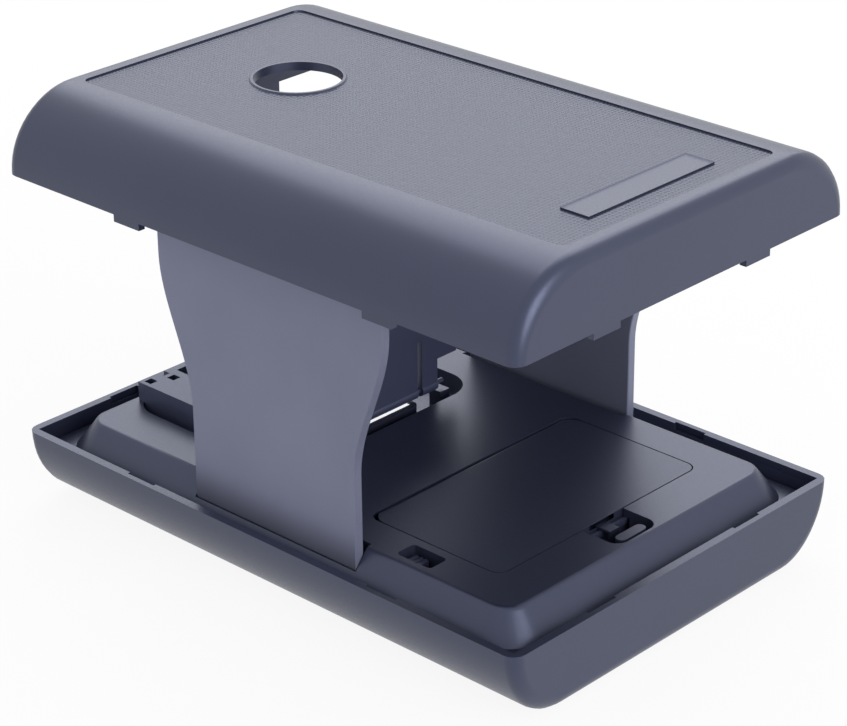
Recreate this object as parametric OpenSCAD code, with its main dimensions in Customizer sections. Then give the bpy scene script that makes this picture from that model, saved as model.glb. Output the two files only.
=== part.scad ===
// Folding film negative scanner: a battery-lit base, two fold-down side panels and a lift-off
// cover with a viewing hole for a phone's camera.
// Origin: centre of the footprint at the ground. X along the long side, Z up.

/* [Overall] */
// Length of the base and of the cover
body_length = 150; // [136:1:190]
// Width of the base and of the cover at their rims
body_width = 104.4; // [98:0.2:130]
// Height of the base's rim above the ground
base_rim_z = 18.1; // [17.5:0.1:24]
// Height of the cover's rim above the ground when the stand is up
cover_rim_z = 81.2; // [72:0.1:110]
// Height of the cover above its own rim
cover_height = 17.7; // [15:0.1:24]
// Wall thickness of the base and cover shells
shell_wall = 2; // [1.6:0.1:2.6]
// Radius of the rounded edge round both end faces
end_edge_r = 3; // [1.5:0.1:4]
// Width of the flat underside of the base
base_flat_width = 75.8; // [70:0.2:90]
// Width of the flat top of the cover
cover_flat_width = 68; // [60:0.2:72]

/* [Cover] */
// Radius of the viewing hole
lens_hole_r = 10; // [7:0.1:14]
// Distance of the viewing hole from the cover's left end
lens_from_end = 39; // [34:0.5:50]
// Width of the raised lip round the viewing hole
lens_lip_w = 1.2; // [0.6:0.1:2]
// Height of the raised lip round the viewing hole
lens_lip_h = 0.4; // [0.2:0.1:0.8]
// Depth of the sunk grip area on the cover's top
grip_depth = 0.4; // [0.2:0.1:0.8]
// Margin between the sunk grip area and the cover's ends
grip_end_margin = 5; // [4:0.5:10]
// Length of the bare name bar
name_bar_length = 39.4; // [20:0.2:50]
// Width of the bare name bar
name_bar_width = 7.4; // [4:0.1:12]
// Distance of the bare name bar from the cover's right end
name_bar_from_end = 11.1; // [8:0.1:20]
// Width of each snap tab under the cover's rim
tab_width = 8; // [5:0.5:12]
// Drop of each snap tab below the cover's rim
tab_drop = 1.2; // [0.8:0.1:2]
// Distance of the long sides' snap tabs from the middle
tab_long_offset = 37; // [30:0.5:44]
// Distance of the end faces' snap tabs from the middle
tab_end_offset = 24; // [15:0.5:30]

/* [Deck] */
// Height of the deck's flat top above the ground
deck_z = 20.8; // [20:0.1:26]
// Thickness of the deck's plate
deck_plate = 2; // [1.6:0.1:2.4]
// Distance from the base's ends to the deck's flat top
deck_end_margin = 10.4; // [8:0.1:14]
// Distance from the base's long sides to the deck's flat top
deck_side_margin = 10; // [8:0.1:14]
// Height of the deck's flat top above its outer shelf
skirt_height = 6.8; // [5:0.1:7]
// Corner radius of the deck's flat top
deck_corner_r = 5; // [3:0.5:9]

/* [Side panels] */
// Thickness of each side panel
panel_thickness = 2.3; // [1.8:0.1:3]
// Distance of a panel's outer face from the base's long side
panel_inset = 6.7; // [6.2:0.1:8]
// Width of each panel at its foot
panel_foot_width = 49; // [40:0.5:54]
// Width of each panel at its top
panel_top_width = 66.4; // [54:0.2:80]
// Height at which a panel starts to widen
panel_flare_low = 38; // [30:0.5:45]
// Height at which a panel reaches its full width
panel_flare_high = 72; // [60:0.5:76]
// Depth to which a panel's top reaches above the cover's rim
panel_reach = 8.8; // [5:0.1:9.5]
// Height of the panel's hinge axis above the ground
panel_axis_z = 16.6; // [16:0.1:17]
// Diameter of the panel's hinge pin
panel_pin_d = 1.2; // [1:0.1:1.3]

/* [Film stage] */
// Length of the pocket in the deck
pocket_length = 52.3; // [48:0.1:56]
// Width of the pocket in the deck
pocket_width = 62; // [58:0.5:66]
// Depth of the pocket below the deck's flat top
pocket_depth = 4; // [3:0.1:4.5]
// Corner radius of the pocket
pocket_corner_r = 8; // [4:0.5:10]
// Margin between the pocket and the left edge of the deck's flat top
pocket_margin = 1.3; // [1:0.1:3]
// Length of the white light window
window_length = 42; // [36:0.5:44]
// Width of the white light window
window_width = 25; // [24:0.5:28]
// Thickness of the diffuser plate in the light window
diffuser_t = 1.5; // [1:0.1:2]
// Width of the film channel between the rails
film_width = 36; // [35.5:0.1:40]
// Overall width of the film guide
guide_width = 56.4; // [50:0.2:58]
// Length of the film guide's rails
guide_length = 19.5; // [14:0.5:22]
// Height of the film guide's rails above the deck's flat top
guide_rise = 4.8; // [3:0.1:6]

/* [Film flap] */
// Distance from the flap's hinge axis to the pocket's right edge
flap_from_edge = 5; // [4.5:0.1:8]
// Height of the flap's hinge axis above the deck's flat top
flap_axis_rise = 1.8; // [1.6:0.1:2.4]
// Height of the flap above its hinge axis
flap_height = 23.4; // [18:0.2:24]
// Height above its hinge axis at which the flap becomes wider
flap_leg_height = 6.7; // [5:0.1:10]
// Width of the flap's leg
flap_leg_width = 43.2; // [36:0.2:46]
// Full width of the flap
flap_width = 56; // [50:0.2:58]
// Thickness of the flap
flap_thickness = 2.4; // [2:0.1:3]
// Diameter of the flap's hinge pin
flap_pin_d = 1.2; // [1:0.1:1.5]
// Width of each slit in the flap
slit_width = 1.5; // [1:0.1:2.5]
// Distance of each slit from the flap's middle
slit_offset = 15.75; // [13:0.25:18]
// Height of the slits above the flap's hinge axis
slit_height = 13; // [9:0.5:18]

/* [Battery compartment] */
// Diameter of one battery cell
cell_d = 14.2; // [10:0.1:14.5]
// Length of one battery cell without its button
cell_length = 49.5; // [43:0.5:51]
// Length of the battery door
door_length = 38; // [34:0.5:40]
// Width of the battery door
door_width = 65.5; // [62:0.5:70]
// Corner radius of the battery door
door_corner_r = 3; // [1:0.5:5]
// Gap round the battery door
door_gap = 0.3; // [0.2:0.05:0.5]
// Length of the finger recess beside the door
recess_length = 9.7; // [9:0.1:10.5]
// Width of the finger recess
recess_width = 13.6; // [11:0.2:20]
// Width of the door's latch spring
latch_width = 8; // [5:0.5:10]
// Thickness of the door's latch spring
latch_t = 1.2; // [0.8:0.1:1.5]

/* [Light switch] */
// Length of the switch slot
slot_length = 9.7; // [9:0.1:14]
// Width of the switch slot
slot_width = 5.4; // [4.5:0.1:7]
// Distance of the switch slot from the near edge of the deck's flat top
slot_margin = 1.9; // [1.6:0.1:2.6]
// Length of the switch knob
knob_length = 4; // [3:0.1:5]
// Travel of the switch knob
knob_travel = 3.5; // [2:0.1:4]

/* [Fasteners and feet] */
// Diameter of a housing screw's shank
screw_d = 1.8; // [1.5:0.1:2.4]
// Diameter of a housing screw's head
screw_head_d = 4.6; // [4:0.1:5]
// Diameter of a rubber foot
foot_d = 8; // [6:0.5:9]
// Height by which the feet lift the base's underside
foot_lift = 0.5; // [0.3:0.1:1]

/* [Hidden] */
$fn = 48;
running_gap = 0.05;
part_gap = 0.3;
slice_t = 0.01;
weld = 0.5;
profile_steps = 14;
edge_steps = 4;
skirt_fn = 32;

half_length = body_length / 2;
half_width = body_width / 2;

// Shell
floor_z = foot_lift + shell_wall;
base_shell_height = base_rim_z - foot_lift;
cover_top_z = cover_rim_z + cover_height;
tab_t = 1.2;
tab_reach = 6;
tab_slot_t = 0.7;
tab_slot_room = 0.6;
grip_corner_r = 2;
grip_side_margin = 0.6;
name_bar_y = 1;
grip_length = body_length - 2 * grip_end_margin;
grip_width = cover_flat_width - 2 * grip_side_margin;
lens_x = lens_from_end - half_length;
name_bar_x = half_length - name_bar_from_end - name_bar_width / 2;

// Deck
deck_half_x = half_length - deck_end_margin;
deck_half_y = half_width - deck_side_margin;
shelf_z = deck_z - skirt_height;
shelf_t = 1.5;
shelf_side_gap = 1.2;
shelf_corner_r = 3;
shelf_inner_r = 8;
deck_under_z = deck_z - deck_plate;
skirt_run = 5.3;
skirt_edge_run = 0.75;
skirt_edge_drop = 0.9;
skirt_round_run = 0.25;
skirt_round_drop = 0.3;
skirt_top_inset = 0.5;

// Side panels
panel_outer_y = half_width - panel_inset;
panel_mid_y = panel_outer_y - panel_thickness / 2;
panel_top_z = cover_rim_z + panel_reach;
panel_top_r = 3;
panel_swing_room = 3.45;
panel_slot_depth = 1.5;
hinge_block_wall = 1.5;
panel_slot_inner_y = panel_mid_y - panel_swing_room;
panel_slot_outer_y = panel_outer_y + part_gap;
panel_pin_r = panel_pin_d / 2;
pin_ear = 4;
pin_ear_floor = 1;
panel_pin_length = panel_foot_width + 2 * (part_gap + pin_ear - pin_ear_floor);
seat_rib_t = 1.5;
seat_rib_rise = 3;
seat_rib_low_z = cover_rim_z + seat_rib_rise;
cheek_width = panel_thickness + 2 * part_gap + 0.4;
cheek_height = 4;
seat_half_x = panel_top_width / 2 + part_gap + seat_rib_t;

// Film stage
pocket_left_x = -deck_half_x + pocket_margin;
pocket_right_x = pocket_left_x + pocket_length;
pocket_mid_x = (pocket_left_x + pocket_right_x) / 2;
pocket_floor_z = deck_z - pocket_depth;
pocket_floor_t = 1.5;
pocket_wall = 1.4;
pocket_wall_trim = 1;
window_rim = 1.5;
window_ledge = 1.5;
window_x = lens_x;
board_margin = 1;
board_z = 6;
board_t = 1.6;
board_length = window_length + 2 * board_margin;
board_width = window_width + 2 * board_margin + 1;
board_screw_inset = 4;
board_screw_x = board_length / 2 - board_screw_inset;
board_hole_r = 1.1;
board_pillar_r = 2.2;
board_pilot_r = 0.85;
board_pilot_z = floor_z + 1;
board_screw_r = 0.8;
board_screw_tip_z = board_pilot_z + 0.2;
board_head_r = 1.6;
board_head_t = 1;
chip = [3.5, 2.8, 0.8];
reflector_wall = 1.2;
guide_x = pocket_left_x + part_gap;
lead_in = 3;
peg_hole = 2.2;
peg_depth = 2;
peg_places = [[2.1, 26.1], [4.5, 21.2], [1, 21.4]];

// Film flap
flap_x = pocket_right_x - flap_from_edge;
flap_axis_z = deck_z + flap_axis_rise;
flap_pin_r = flap_pin_d / 2;
flap_barrel_r = 1.5;
flap_ear_t = 3;
flap_ear_r = 1.8;
flap_top_r = 3;
flap_ear_floor = 0.6;
slit_overrun = 4;
flap_pin_length = flap_leg_width + 2 * (part_gap + flap_ear_t - flap_ear_floor);

// Battery compartment
door_margin = 11.1;
door_right_x = deck_half_x - door_margin;
door_left_x = door_right_x - door_length;
door_mid_x = (door_left_x + door_right_x) / 2;
door_t = deck_plate;
door_nose_r = door_t / 2;
door_pivot_x = door_left_x + door_gap + door_nose_r;
door_pivot_z = deck_z - door_nose_r;
door_swing_relief = 2;
tongue_width = 8;
tongue_offset = 18;
tongue_t = 1.6;
tongue_reach = 2.6;
tongue_way_length = 11;
tongue_way_depth = 4.2;
latch_depth = 6.5;
latch_root = 3;
latch_sink = 0.2;
latch_bevel = 0.6;
latch_outer_bevel = 0.8;
lip_gap = 0.8;
recess_floor_z = deck_z - 8;
recess_wall = 1;
recess_corner_r = 3;
well_wall = 1.7;
well_flange = 0.7;
well_flange_t = 1.4;
well_top_z = deck_under_z - part_gap;
well_floor_t = 1;
well_half_x = door_length / 2 + part_gap;
well_half_y = door_width / 2 + part_gap;
cell_gap = 0.5;
cell_pitch = cell_d + cell_gap;
cell_axis_z = floor_z + well_floor_t + part_gap + cell_d / 2;
button_d = 5.2;
button_length = 1;
contact_t = 0.5;
contact_width = 8;
contact_leaf_reach = 3;

// Light switch
slot_mid_y = -(deck_half_y - slot_margin - slot_width / 2);
slot_mid_x = door_mid_x + 1.6;
slot_wall = 1;
slot_corner_r = 1;
slot_depth = 5;
switch_top_z = deck_z - slot_depth;
switch_height = 4.2;
knob_sink = 1;
knob_side_gap = 0.8;
ridge_height = 0.8;
ridge_weld = 0.2;
knob_top_z = deck_z - knob_sink;
knob_rest_x = slot_mid_x - knob_travel / 2;
knob_width = slot_width - 2 * knob_side_gap;
stem_d = 1.4;
stem_depth = 1.8;

// Fasteners and feet
screw_head_t = 1.6;
cross_recess = [2.6, 0.6, 1.6];
screw_seat_z = foot_lift + 2.6;
pillar_r = 3.4;
pillar_top_z = 5.5;
boss_r = 3;
screw_tip_z = 12.5;
screw_places = [
    [lens_x - 16, 24, pocket_floor_z - 0.5],
    [door_right_x + 5, 27, deck_z - 1]
];
foot_inset_x = 7.5;
foot_y = base_flat_width / 2 - 9.9;
foot_sunk = 1;

shell_black = "#34373d";
panel_black = "#3d4148";
door_black = "#31343a";
guide_black = "#2b2e33";
rubber_grey = "#1c1c1e";
steel = "#b9bcc0";
diffuser_white = "#f4f5f2";
board_white = "#e6e9e4";
cell_silver = "#a9acb0";

// ---------- outlines ----------

// One side of a shell's cross-section, from the edge of its flat face to its rim.
function side_curve(flat_half, rim_half, height) = [
    for (i = [0 : profile_steps])
        let (a = 90 * i / profile_steps)
        [flat_half + (rim_half - flat_half) * sin(a), height * cos(a)]
];

// A shell's whole cross-section, standing on its rim.
function dome_outline(flat_half, rim_half, height) =
    let (side = side_curve(flat_half, rim_half, height))
    concat(side, [for (i = [profile_steps : -1 : 0]) [-side[i][0], side[i][1]]]);

// A value that eases from 0 to 1.
function ease(t) = t <= 0 ? 0 : t >= 1 ? 1 : t * t * (3 - 2 * t);

// Half the width of a side panel at a height.
function panel_half_width(z) =
    panel_foot_width / 2 + (panel_top_width - panel_foot_width) / 2
    * ease((z - panel_flare_low) / (panel_flare_high - panel_flare_low));

module rounded_square(size, r) {
    square([size[0] - 2 * r, size[1]], center = true);
    square([size[0], size[1] - 2 * r], center = true);
    for (sx = [-1, 1], sy = [-1, 1])
        translate([sx * (size[0] / 2 - r), sy * (size[1] / 2 - r)])
            circle(r);
}

// Sweeps an outline drawn in Y and Z along X, centred.
module along_x(length) {
    rotate([90, 0, 90])
        linear_extrude(length, center = true)
            children();
}

// Sweeps an outline drawn in X and Z along Y, centred.
module along_y(length) {
    rotate([90, 0, 0])
        linear_extrude(length, center = true)
            children();
}

module box_between(low, high) {
    translate(low)
        cube([high[0] - low[0], high[1] - low[1], high[2] - low[2]]);
}

// ---------- shells ----------

// A closed shell body on its rim, with a rounded edge round both end faces.
module dome(half_x, flat_half, rim_half, height) {
    hull()
        for (side = [-1, 1], i = [0 : edge_steps])
            let (
                b = 90 * i / edge_steps,
                inset = end_edge_r * (1 - cos(b)),
                x = half_x - end_edge_r + end_edge_r * sin(b) - slice_t / 2
            )
            translate([side * x, 0, 0])
                along_x(slice_t)
                    polygon(dome_outline(flat_half - inset, rim_half - inset, height - inset));
}

// The hollow of a shell, open at the rim. A grow above 0 reaches into the walls.
module dome_hollow(flat_half, height, grow) {
    inner_rim = half_width - shell_wall + grow;
    along_x(2 * (half_length - shell_wall + grow)) {
        polygon(dome_outline(flat_half - shell_wall / 2 + grow, inner_rim,
                             height - shell_wall + grow));
        translate([-inner_rim, -1])
            square([2 * inner_rim, 1 + slice_t]);
    }
}

module snap_places() {
    for (sx = [-1, 1], sy = [-1, 1]) {
        translate([sx * tab_long_offset, sy * (half_width - shell_wall), 0])
            rotate([0, 0, sy > 0 ? 0 : 180])
                children();
        translate([sx * (half_length - shell_wall), sy * tab_end_offset, 0])
            rotate([0, 0, sx > 0 ? -90 : 90])
                children();
    }
}

module base_shell() {
    color(shell_black)
        difference() {
            union() {
                difference() {
                    translate([0, 0, base_rim_z])
                        mirror([0, 0, 1])
                            dome(half_length, base_flat_width / 2, half_width, base_shell_height);
                    translate([0, 0, base_rim_z])
                        mirror([0, 0, 1])
                            dome_hollow(base_flat_width / 2, base_shell_height, 0);
                }
                for (place = screw_places, sy = [-1, 1])
                    translate([place[0], sy * place[1], floor_z - weld])
                        cylinder(r = pillar_r, h = pillar_top_z - floor_z + weld);
                for (sx = [-1, 1])
                    translate([window_x + sx * board_screw_x, 0, floor_z - weld])
                        cylinder(r = board_pillar_r, h = board_z - floor_z + weld);
            }
            for (place = screw_places, sy = [-1, 1])
                translate([place[0], sy * place[1], 0]) {
                    cylinder(r = screw_head_d / 2 + part_gap, h = screw_seat_z);
                    cylinder(r = screw_d / 2 + part_gap, h = pillar_top_z + 1);
                }
            for (sx = [-1, 1], sy = [-1, 1])
                translate([sx * (half_length - foot_inset_x), sy * foot_y, 0])
                    cylinder(r = foot_d / 2 + running_gap, h = foot_lift + foot_sunk);
            for (sx = [-1, 1])
                translate([window_x + sx * board_screw_x, 0, board_pilot_z])
                    cylinder(r = board_pilot_r, h = board_z);
            translate([0, 0, base_rim_z])
                snap_places()
                    box_between([-tab_width / 2 - part_gap, -1, -tab_drop - tab_slot_room],
                                [tab_width / 2 + part_gap, tab_slot_t, 1]);
        }
}

module cover_shell() {
    color(shell_black)
        difference() {
            union() {
                difference() {
                    translate([0, 0, cover_rim_z])
                        dome(half_length, cover_flat_width / 2, half_width, cover_height);
                    translate([0, 0, cover_rim_z])
                        dome_hollow(cover_flat_width / 2, cover_height, 0);
                    translate([0, 0, cover_top_z - grip_depth])
                        linear_extrude(grip_depth + 1)
                            rounded_square([grip_length, grip_width], grip_corner_r);
                }
                translate([lens_x, 0, cover_top_z - grip_depth - 1])
                    cylinder(r1 = lens_hole_r + lens_lip_w + 0.5, r2 = lens_hole_r + lens_lip_w / 2,
                             h = 1 + lens_lip_h, $fn = 72);
                box_between([name_bar_x - name_bar_width / 2, name_bar_y - name_bar_length / 2,
                             cover_top_z - grip_depth - 1],
                            [name_bar_x + name_bar_width / 2, name_bar_y + name_bar_length / 2,
                             cover_top_z]);
                translate([0, 0, cover_rim_z])
                    snap_places()
                        box_between([-tab_width / 2, -tab_t, -tab_drop],
                                    [tab_width / 2, weld, tab_reach]);
            }
            translate([lens_x, 0, cover_rim_z])
                cylinder(r = lens_hole_r, h = cover_height + 2, $fn = 72);
        }
}

// Ribs under the cover's top that stop and centre both panels' top edges.
module cover_seats() {
    color(shell_black)
        for (sy = [-1, 1])
            mirror([0, sy < 0 ? 1 : 0, 0])
                intersection() {
                    translate([0, 0, cover_rim_z])
                        dome_hollow(cover_flat_width / 2, cover_height, 0);
                    union() {
                        box_between([-seat_half_x, panel_outer_y + part_gap, seat_rib_low_z],
                                    [seat_half_x, panel_outer_y + part_gap + seat_rib_t,
                                     cover_top_z]);
                        box_between([-seat_half_x, panel_outer_y - panel_thickness,
                                     panel_top_z + part_gap],
                                    [seat_half_x, panel_outer_y + part_gap + slice_t,
                                     cover_top_z]);
                        for (sx = [-1, 1])
                            translate([sx * (seat_half_x - seat_rib_t / 2), panel_mid_y, panel_top_z])
                                cube([seat_rib_t, cheek_width, cheek_height], center = true);
                    }
                }
}

// ---------- deck ----------

// The raised deck from its outer shelf to its flat top. An inset above 0 draws the hollow below it.
module skirt(inset) {
    levels = [
        [0, skirt_run],
        [skirt_height - skirt_edge_drop, skirt_edge_run],
        [skirt_height - skirt_round_drop, skirt_round_run],
        [skirt_height, -skirt_top_inset]
    ];
    hull()
        for (level = levels)
            translate([0, 0, shelf_z + level[0] - slice_t])
                linear_extrude(slice_t)
                    rounded_square([2 * (deck_half_x + level[1] - inset),
                                    2 * (deck_half_y + level[1] - inset)],
                                   deck_corner_r + level[1] - inset / 2, $fn = skirt_fn);
}

module panel_slot(sy) {
    mirror([0, sy < 0 ? 1 : 0, 0]) {
        box_between([-panel_foot_width / 2 - part_gap, panel_slot_inner_y, panel_axis_z - panel_slot_depth],
                    [panel_foot_width / 2 + part_gap, panel_slot_outer_y, deck_z + 1]);
        translate([0, panel_mid_y, panel_axis_z])
            rotate([0, 90, 0])
                cylinder(r = panel_pin_r + running_gap, h = panel_pin_length + 1, center = true);
    }
}

module base_deck() {
    hinge_x = panel_foot_width / 2 + part_gap + pin_ear;
    shelf_half_x = half_length - shell_wall - part_gap;
    shelf_half_y = half_width - shell_wall - shelf_side_gap;
    pocket_size = [pocket_length, pocket_width];
    color(shell_black)
        difference() {
            union() {
                // plate and skirt
                difference() {
                    union() {
                        skirt(0);
                        translate([0, 0, shelf_z - shelf_t])
                            linear_extrude(shelf_t)
                                rounded_square([2 * shelf_half_x, 2 * shelf_half_y], shelf_corner_r);
                    }
                    translate([0, 0, -deck_plate])
                        skirt(shell_wall);
                    translate([0, 0, shelf_z - shelf_t - 1])
                        linear_extrude(shelf_t)
                            rounded_square([2 * (deck_half_x + skirt_run - shell_wall),
                                            2 * (deck_half_y + skirt_run - shell_wall)],
                                           shelf_inner_r);
                }
                // hinge blocks, then the tubs of the pocket and finger recess, the switch collar, bosses
                intersection() {
                    skirt(0);
                    union() {
                        for (sy = [-1, 1])
                            mirror([0, sy < 0 ? 1 : 0, 0])
                                box_between([-hinge_x, panel_slot_inner_y - hinge_block_wall, shelf_z],
                                            [hinge_x, half_width, deck_z]);
                    }
                }
                translate([pocket_mid_x, 0, pocket_floor_z - pocket_floor_t])
                    linear_extrude(deck_under_z - pocket_floor_z + pocket_floor_t + weld)
                        rounded_square([pocket_length + 2 * pocket_wall - pocket_wall_trim,
                                        pocket_width + 2 * pocket_wall],
                                       pocket_corner_r + pocket_wall);
                box_between([door_right_x + 2, -recess_width / 2 - recess_wall, recess_floor_z - recess_wall],
                            [door_right_x + part_gap + recess_length + recess_wall,
                             recess_width / 2 + recess_wall, deck_under_z + weld]);
                translate([slot_mid_x, slot_mid_y, switch_top_z])
                    linear_extrude(deck_under_z - switch_top_z + weld)
                        rounded_square([slot_length + 2 * slot_wall, slot_width + 2 * slot_wall],
                                       slot_corner_r);
                for (place = screw_places, sy = [-1, 1])
                    translate([place[0], sy * place[1], pillar_top_z])
                        cylinder(r = boss_r, h = place[2] - pillar_top_z);
            }
            // pocket, window, door opening, finger recess and switch slot
            difference() {
                translate([pocket_mid_x, 0, pocket_floor_z])
                    linear_extrude(pocket_depth + 1)
                        rounded_square(pocket_size, pocket_corner_r);
                translate([window_x, 0, pocket_floor_z - 1])
                    linear_extrude(pocket_depth + 1)
                        rounded_square([window_length + 2 * window_rim,
                                        window_width + 2 * window_rim], window_rim);
                for (sy = [-1, 1])
                    translate([flap_x, sy * (flap_leg_width / 2 + part_gap + flap_ear_t / 2), 0])
                        flap_ear();
            }
            translate([window_x, 0, deck_z - diffuser_t])
                linear_extrude(diffuser_t + 1)
                    square([window_length, window_width], center = true);
            translate([window_x, 0, pocket_floor_z - pocket_floor_t - 1])
                linear_extrude(pocket_depth + pocket_floor_t + 1)
                    square([window_length - 2 * window_ledge, window_width - 2 * window_ledge],
                           center = true);
            translate([door_mid_x, 0, deck_under_z - 1])
                linear_extrude(deck_plate + 2)
                    rounded_square([door_length, door_width], door_corner_r);
            box_between([door_right_x - 1, -recess_width / 2, deck_under_z],
                        [door_right_x + 3, recess_width / 2, deck_z + 1]);
            translate([door_right_x + part_gap + recess_length / 2, 0, recess_floor_z])
                linear_extrude(deck_z)
                    rounded_square([recess_length, recess_width], recess_corner_r);
            translate([slot_mid_x, slot_mid_y, switch_top_z - 1])
                linear_extrude(deck_z)
                    rounded_square([slot_length, slot_width], slot_corner_r);
            for (place = screw_places, sy = [-1, 1])
                translate([place[0], sy * place[1], pillar_top_z - 1])
                    cylinder(r = screw_d / 2 + running_gap, h = screw_tip_z - pillar_top_z + 2);
            for (sy = [-1, 1])
                panel_slot(sy);
            translate([flap_x, 0, flap_axis_z])
                rotate([90, 0, 0])
                    cylinder(r = flap_pin_r + running_gap, h = flap_pin_length + 0.4, center = true);
        }
}

// A bearing ear for the flap's pin, standing on the pocket's floor.
module flap_ear() {
    along_y(flap_ear_t) {
        translate([0, flap_axis_z])
            circle(flap_ear_r);
        translate([-flap_ear_r, pocket_floor_z - 1])
            square([2 * flap_ear_r, flap_axis_z - pocket_floor_z + 1]);
    }
}

// ---------- film stage and light ----------

module film_guide() {
    rail_width = (guide_width - film_width) / 2;
    bridge_length = window_x - window_length / 2 - window_rim - guide_x - part_gap;
    color(guide_black)
        difference() {
            union() {
                for (sy = [-1, 1])
                    translate([guide_x, sy * (film_width + rail_width) / 2, pocket_floor_z])
                        difference() {
                            translate([0, -rail_width / 2, 0])
                                cube([guide_length, rail_width, pocket_depth + guide_rise]);
                            // lead-in at the film's entry
                            translate([0, -sy * rail_width / 2, 0])
                                rotate([0, 0, 45])
                                    cube([lead_in, lead_in, 3 * (pocket_depth + guide_rise)], center = true);
                        }
                box_between([guide_x, -guide_width / 2, pocket_floor_z],
                            [guide_x + bridge_length, guide_width / 2,
                             pocket_floor_z + pocket_depth]);
            }
            for (place = peg_places, sy = [-1, 1])
                translate([guide_x + place[0], sy * place[1], deck_z + guide_rise])
                    cube([peg_hole, peg_hole, 2 * peg_depth], center = true);
            for (sy = [-1, 1])
                guide_corner_cut(sy);
        }
}

// Rounds the guide's left corners to the pocket's corners.
module guide_corner_cut(sy) {
    r = pocket_corner_r - part_gap;
    reach = guide_width / 2 - pocket_width / 2 + pocket_corner_r;
    translate([guide_x - 1, sy > 0 ? guide_width / 2 - reach : -guide_width / 2 - 1,
               pocket_floor_z - 1])
        difference() {
            cube([r + 1, reach + 1, pocket_depth + 1]);
            translate([r + 1, sy > 0 ? 0 : reach + 1, -1])
                cylinder(r = r, h = pocket_depth + 3);
        }
}

module light_diffuser() {
    color(diffuser_white)
        translate([window_x, 0, deck_z - diffuser_t])
            linear_extrude(diffuser_t)
                square([window_length - 0.1, window_width - 0.1], center = true);
}

module light_reflector() {
    low_z = board_z + board_t;
    color(board_white)
        translate([window_x, 0, low_z])
            linear_extrude(pocket_floor_z - pocket_floor_t - low_z)
                difference() {
                    rounded_square([board_length, board_width], 2);
                    rounded_square([board_length - 2 * reflector_wall,
                                    board_width - 2 * reflector_wall], 1);
                }
}

module led_board() {
    color(board_white)
        translate([window_x, 0, board_z])
            difference() {
                union() {
                    linear_extrude(board_t)
                        square([board_length, board_width], center = true);
                    for (column = [-1.5 : 1 : 1.5], row = [-1, 1])
                        translate([column * window_length / 6, row * window_width / 5, board_t])
                            linear_extrude(chip[2])
                                square([chip[0], chip[1]], center = true);
                }
                for (sx = [-1, 1])
                    translate([sx * board_screw_x, 0, -1])
                        cylinder(r = board_hole_r, h = board_t + 2);
            }
}

module board_screws() {
    color(steel)
        for (sx = [-1, 1])
            translate([window_x + sx * board_screw_x, 0, 0]) {
                translate([0, 0, board_screw_tip_z])
                    cylinder(r = board_screw_r, h = board_z + board_t - board_screw_tip_z + weld);
                translate([0, 0, board_z + board_t])
                    cylinder(r = board_head_r, h = board_head_t);
            }
}

// ---------- film flap ----------

module film_flap() {
    color(guide_black)
        difference() {
            union() {
                translate([flap_x, 0, flap_axis_z])
                    along_x(flap_thickness) {
                        translate([-flap_leg_width / 2, 0])
                            square([flap_leg_width, flap_leg_height + 1]);
                        translate([-flap_width / 2, flap_leg_height])
                            square([flap_width, flap_height - flap_leg_height - flap_top_r]);
                        translate([0, flap_height - 2 * flap_top_r])
                            translate([-flap_width / 2 + flap_top_r, flap_top_r])
                                square([flap_width - 2 * flap_top_r, flap_top_r]);
                        for (sy = [-1, 1])
                            translate([sy * (flap_width / 2 - flap_top_r), flap_height - flap_top_r])
                                circle(flap_top_r);
                    }
                translate([flap_x, 0, flap_axis_z])
                    rotate([90, 0, 0])
                        cylinder(r = flap_barrel_r, h = flap_leg_width, center = true);
            }
            translate([flap_x, 0, flap_axis_z])
                rotate([90, 0, 0])
                    cylinder(r = flap_pin_r + running_gap, h = flap_leg_width + 2, center = true);
            for (sy = [-1, 1])
                translate([flap_x, sy * slit_offset, flap_axis_z + (slit_height - slit_overrun) / 2])
                    cube([2 * flap_barrel_r + 2, slit_width, slit_height + slit_overrun], center = true);
        }
}

module flap_pin() {
    color(steel)
        translate([flap_x, 0, flap_axis_z])
            rotate([90, 0, 0])
                cylinder(r = flap_pin_r, h = flap_pin_length, center = true);
}

// ---------- side panels ----------

function panel_side() = [
    for (z = [panel_flare_low : 2 : panel_flare_high]) [panel_half_width(z), z]
];

module side_panel(sy) {
    side = panel_side();
    low = [[panel_foot_width / 2, panel_axis_z]];
    high = [[panel_top_width / 2, panel_top_z - panel_top_r]];
    right = concat(low, side, high);
    count = len(right);
    color(panel_black)
        mirror([0, sy < 0 ? 1 : 0, 0])
            difference() {
                union() {
                    translate([0, panel_mid_y, 0])
                        along_y(panel_thickness) {
                            polygon(concat(right, [for (i = [count - 1 : -1 : 0])
                                                   [-right[i][0], right[i][1]]]));
                            translate([panel_top_r - panel_top_width / 2, panel_top_z - panel_top_r])
                                square([panel_top_width - 2 * panel_top_r, panel_top_r]);
                            for (sx = [-1, 1])
                                translate([sx * (panel_top_width / 2 - panel_top_r),
                                           panel_top_z - panel_top_r])
                                    circle(panel_top_r);
                        }
                    translate([0, panel_mid_y, panel_axis_z])
                        rotate([0, 90, 0])
                            cylinder(r = panel_thickness / 2, h = panel_foot_width, center = true);
                }
                translate([0, panel_mid_y, panel_axis_z])
                    rotate([0, 90, 0])
                        cylinder(r = panel_pin_r + running_gap, h = panel_foot_width + 2,
                                 center = true);
            }
}

module panel_pin(sy) {
    color(steel)
        translate([0, sy * panel_mid_y, panel_axis_z])
            rotate([0, 90, 0])
                cylinder(r = panel_pin_r, h = panel_pin_length, center = true);
}

module near_panel() {
    side_panel(-1);
}

module far_panel() {
    side_panel(1);
}

module near_panel_pin() {
    panel_pin(-1);
}

module far_panel_pin() {
    panel_pin(1);
}

// ---------- battery compartment ----------

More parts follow.
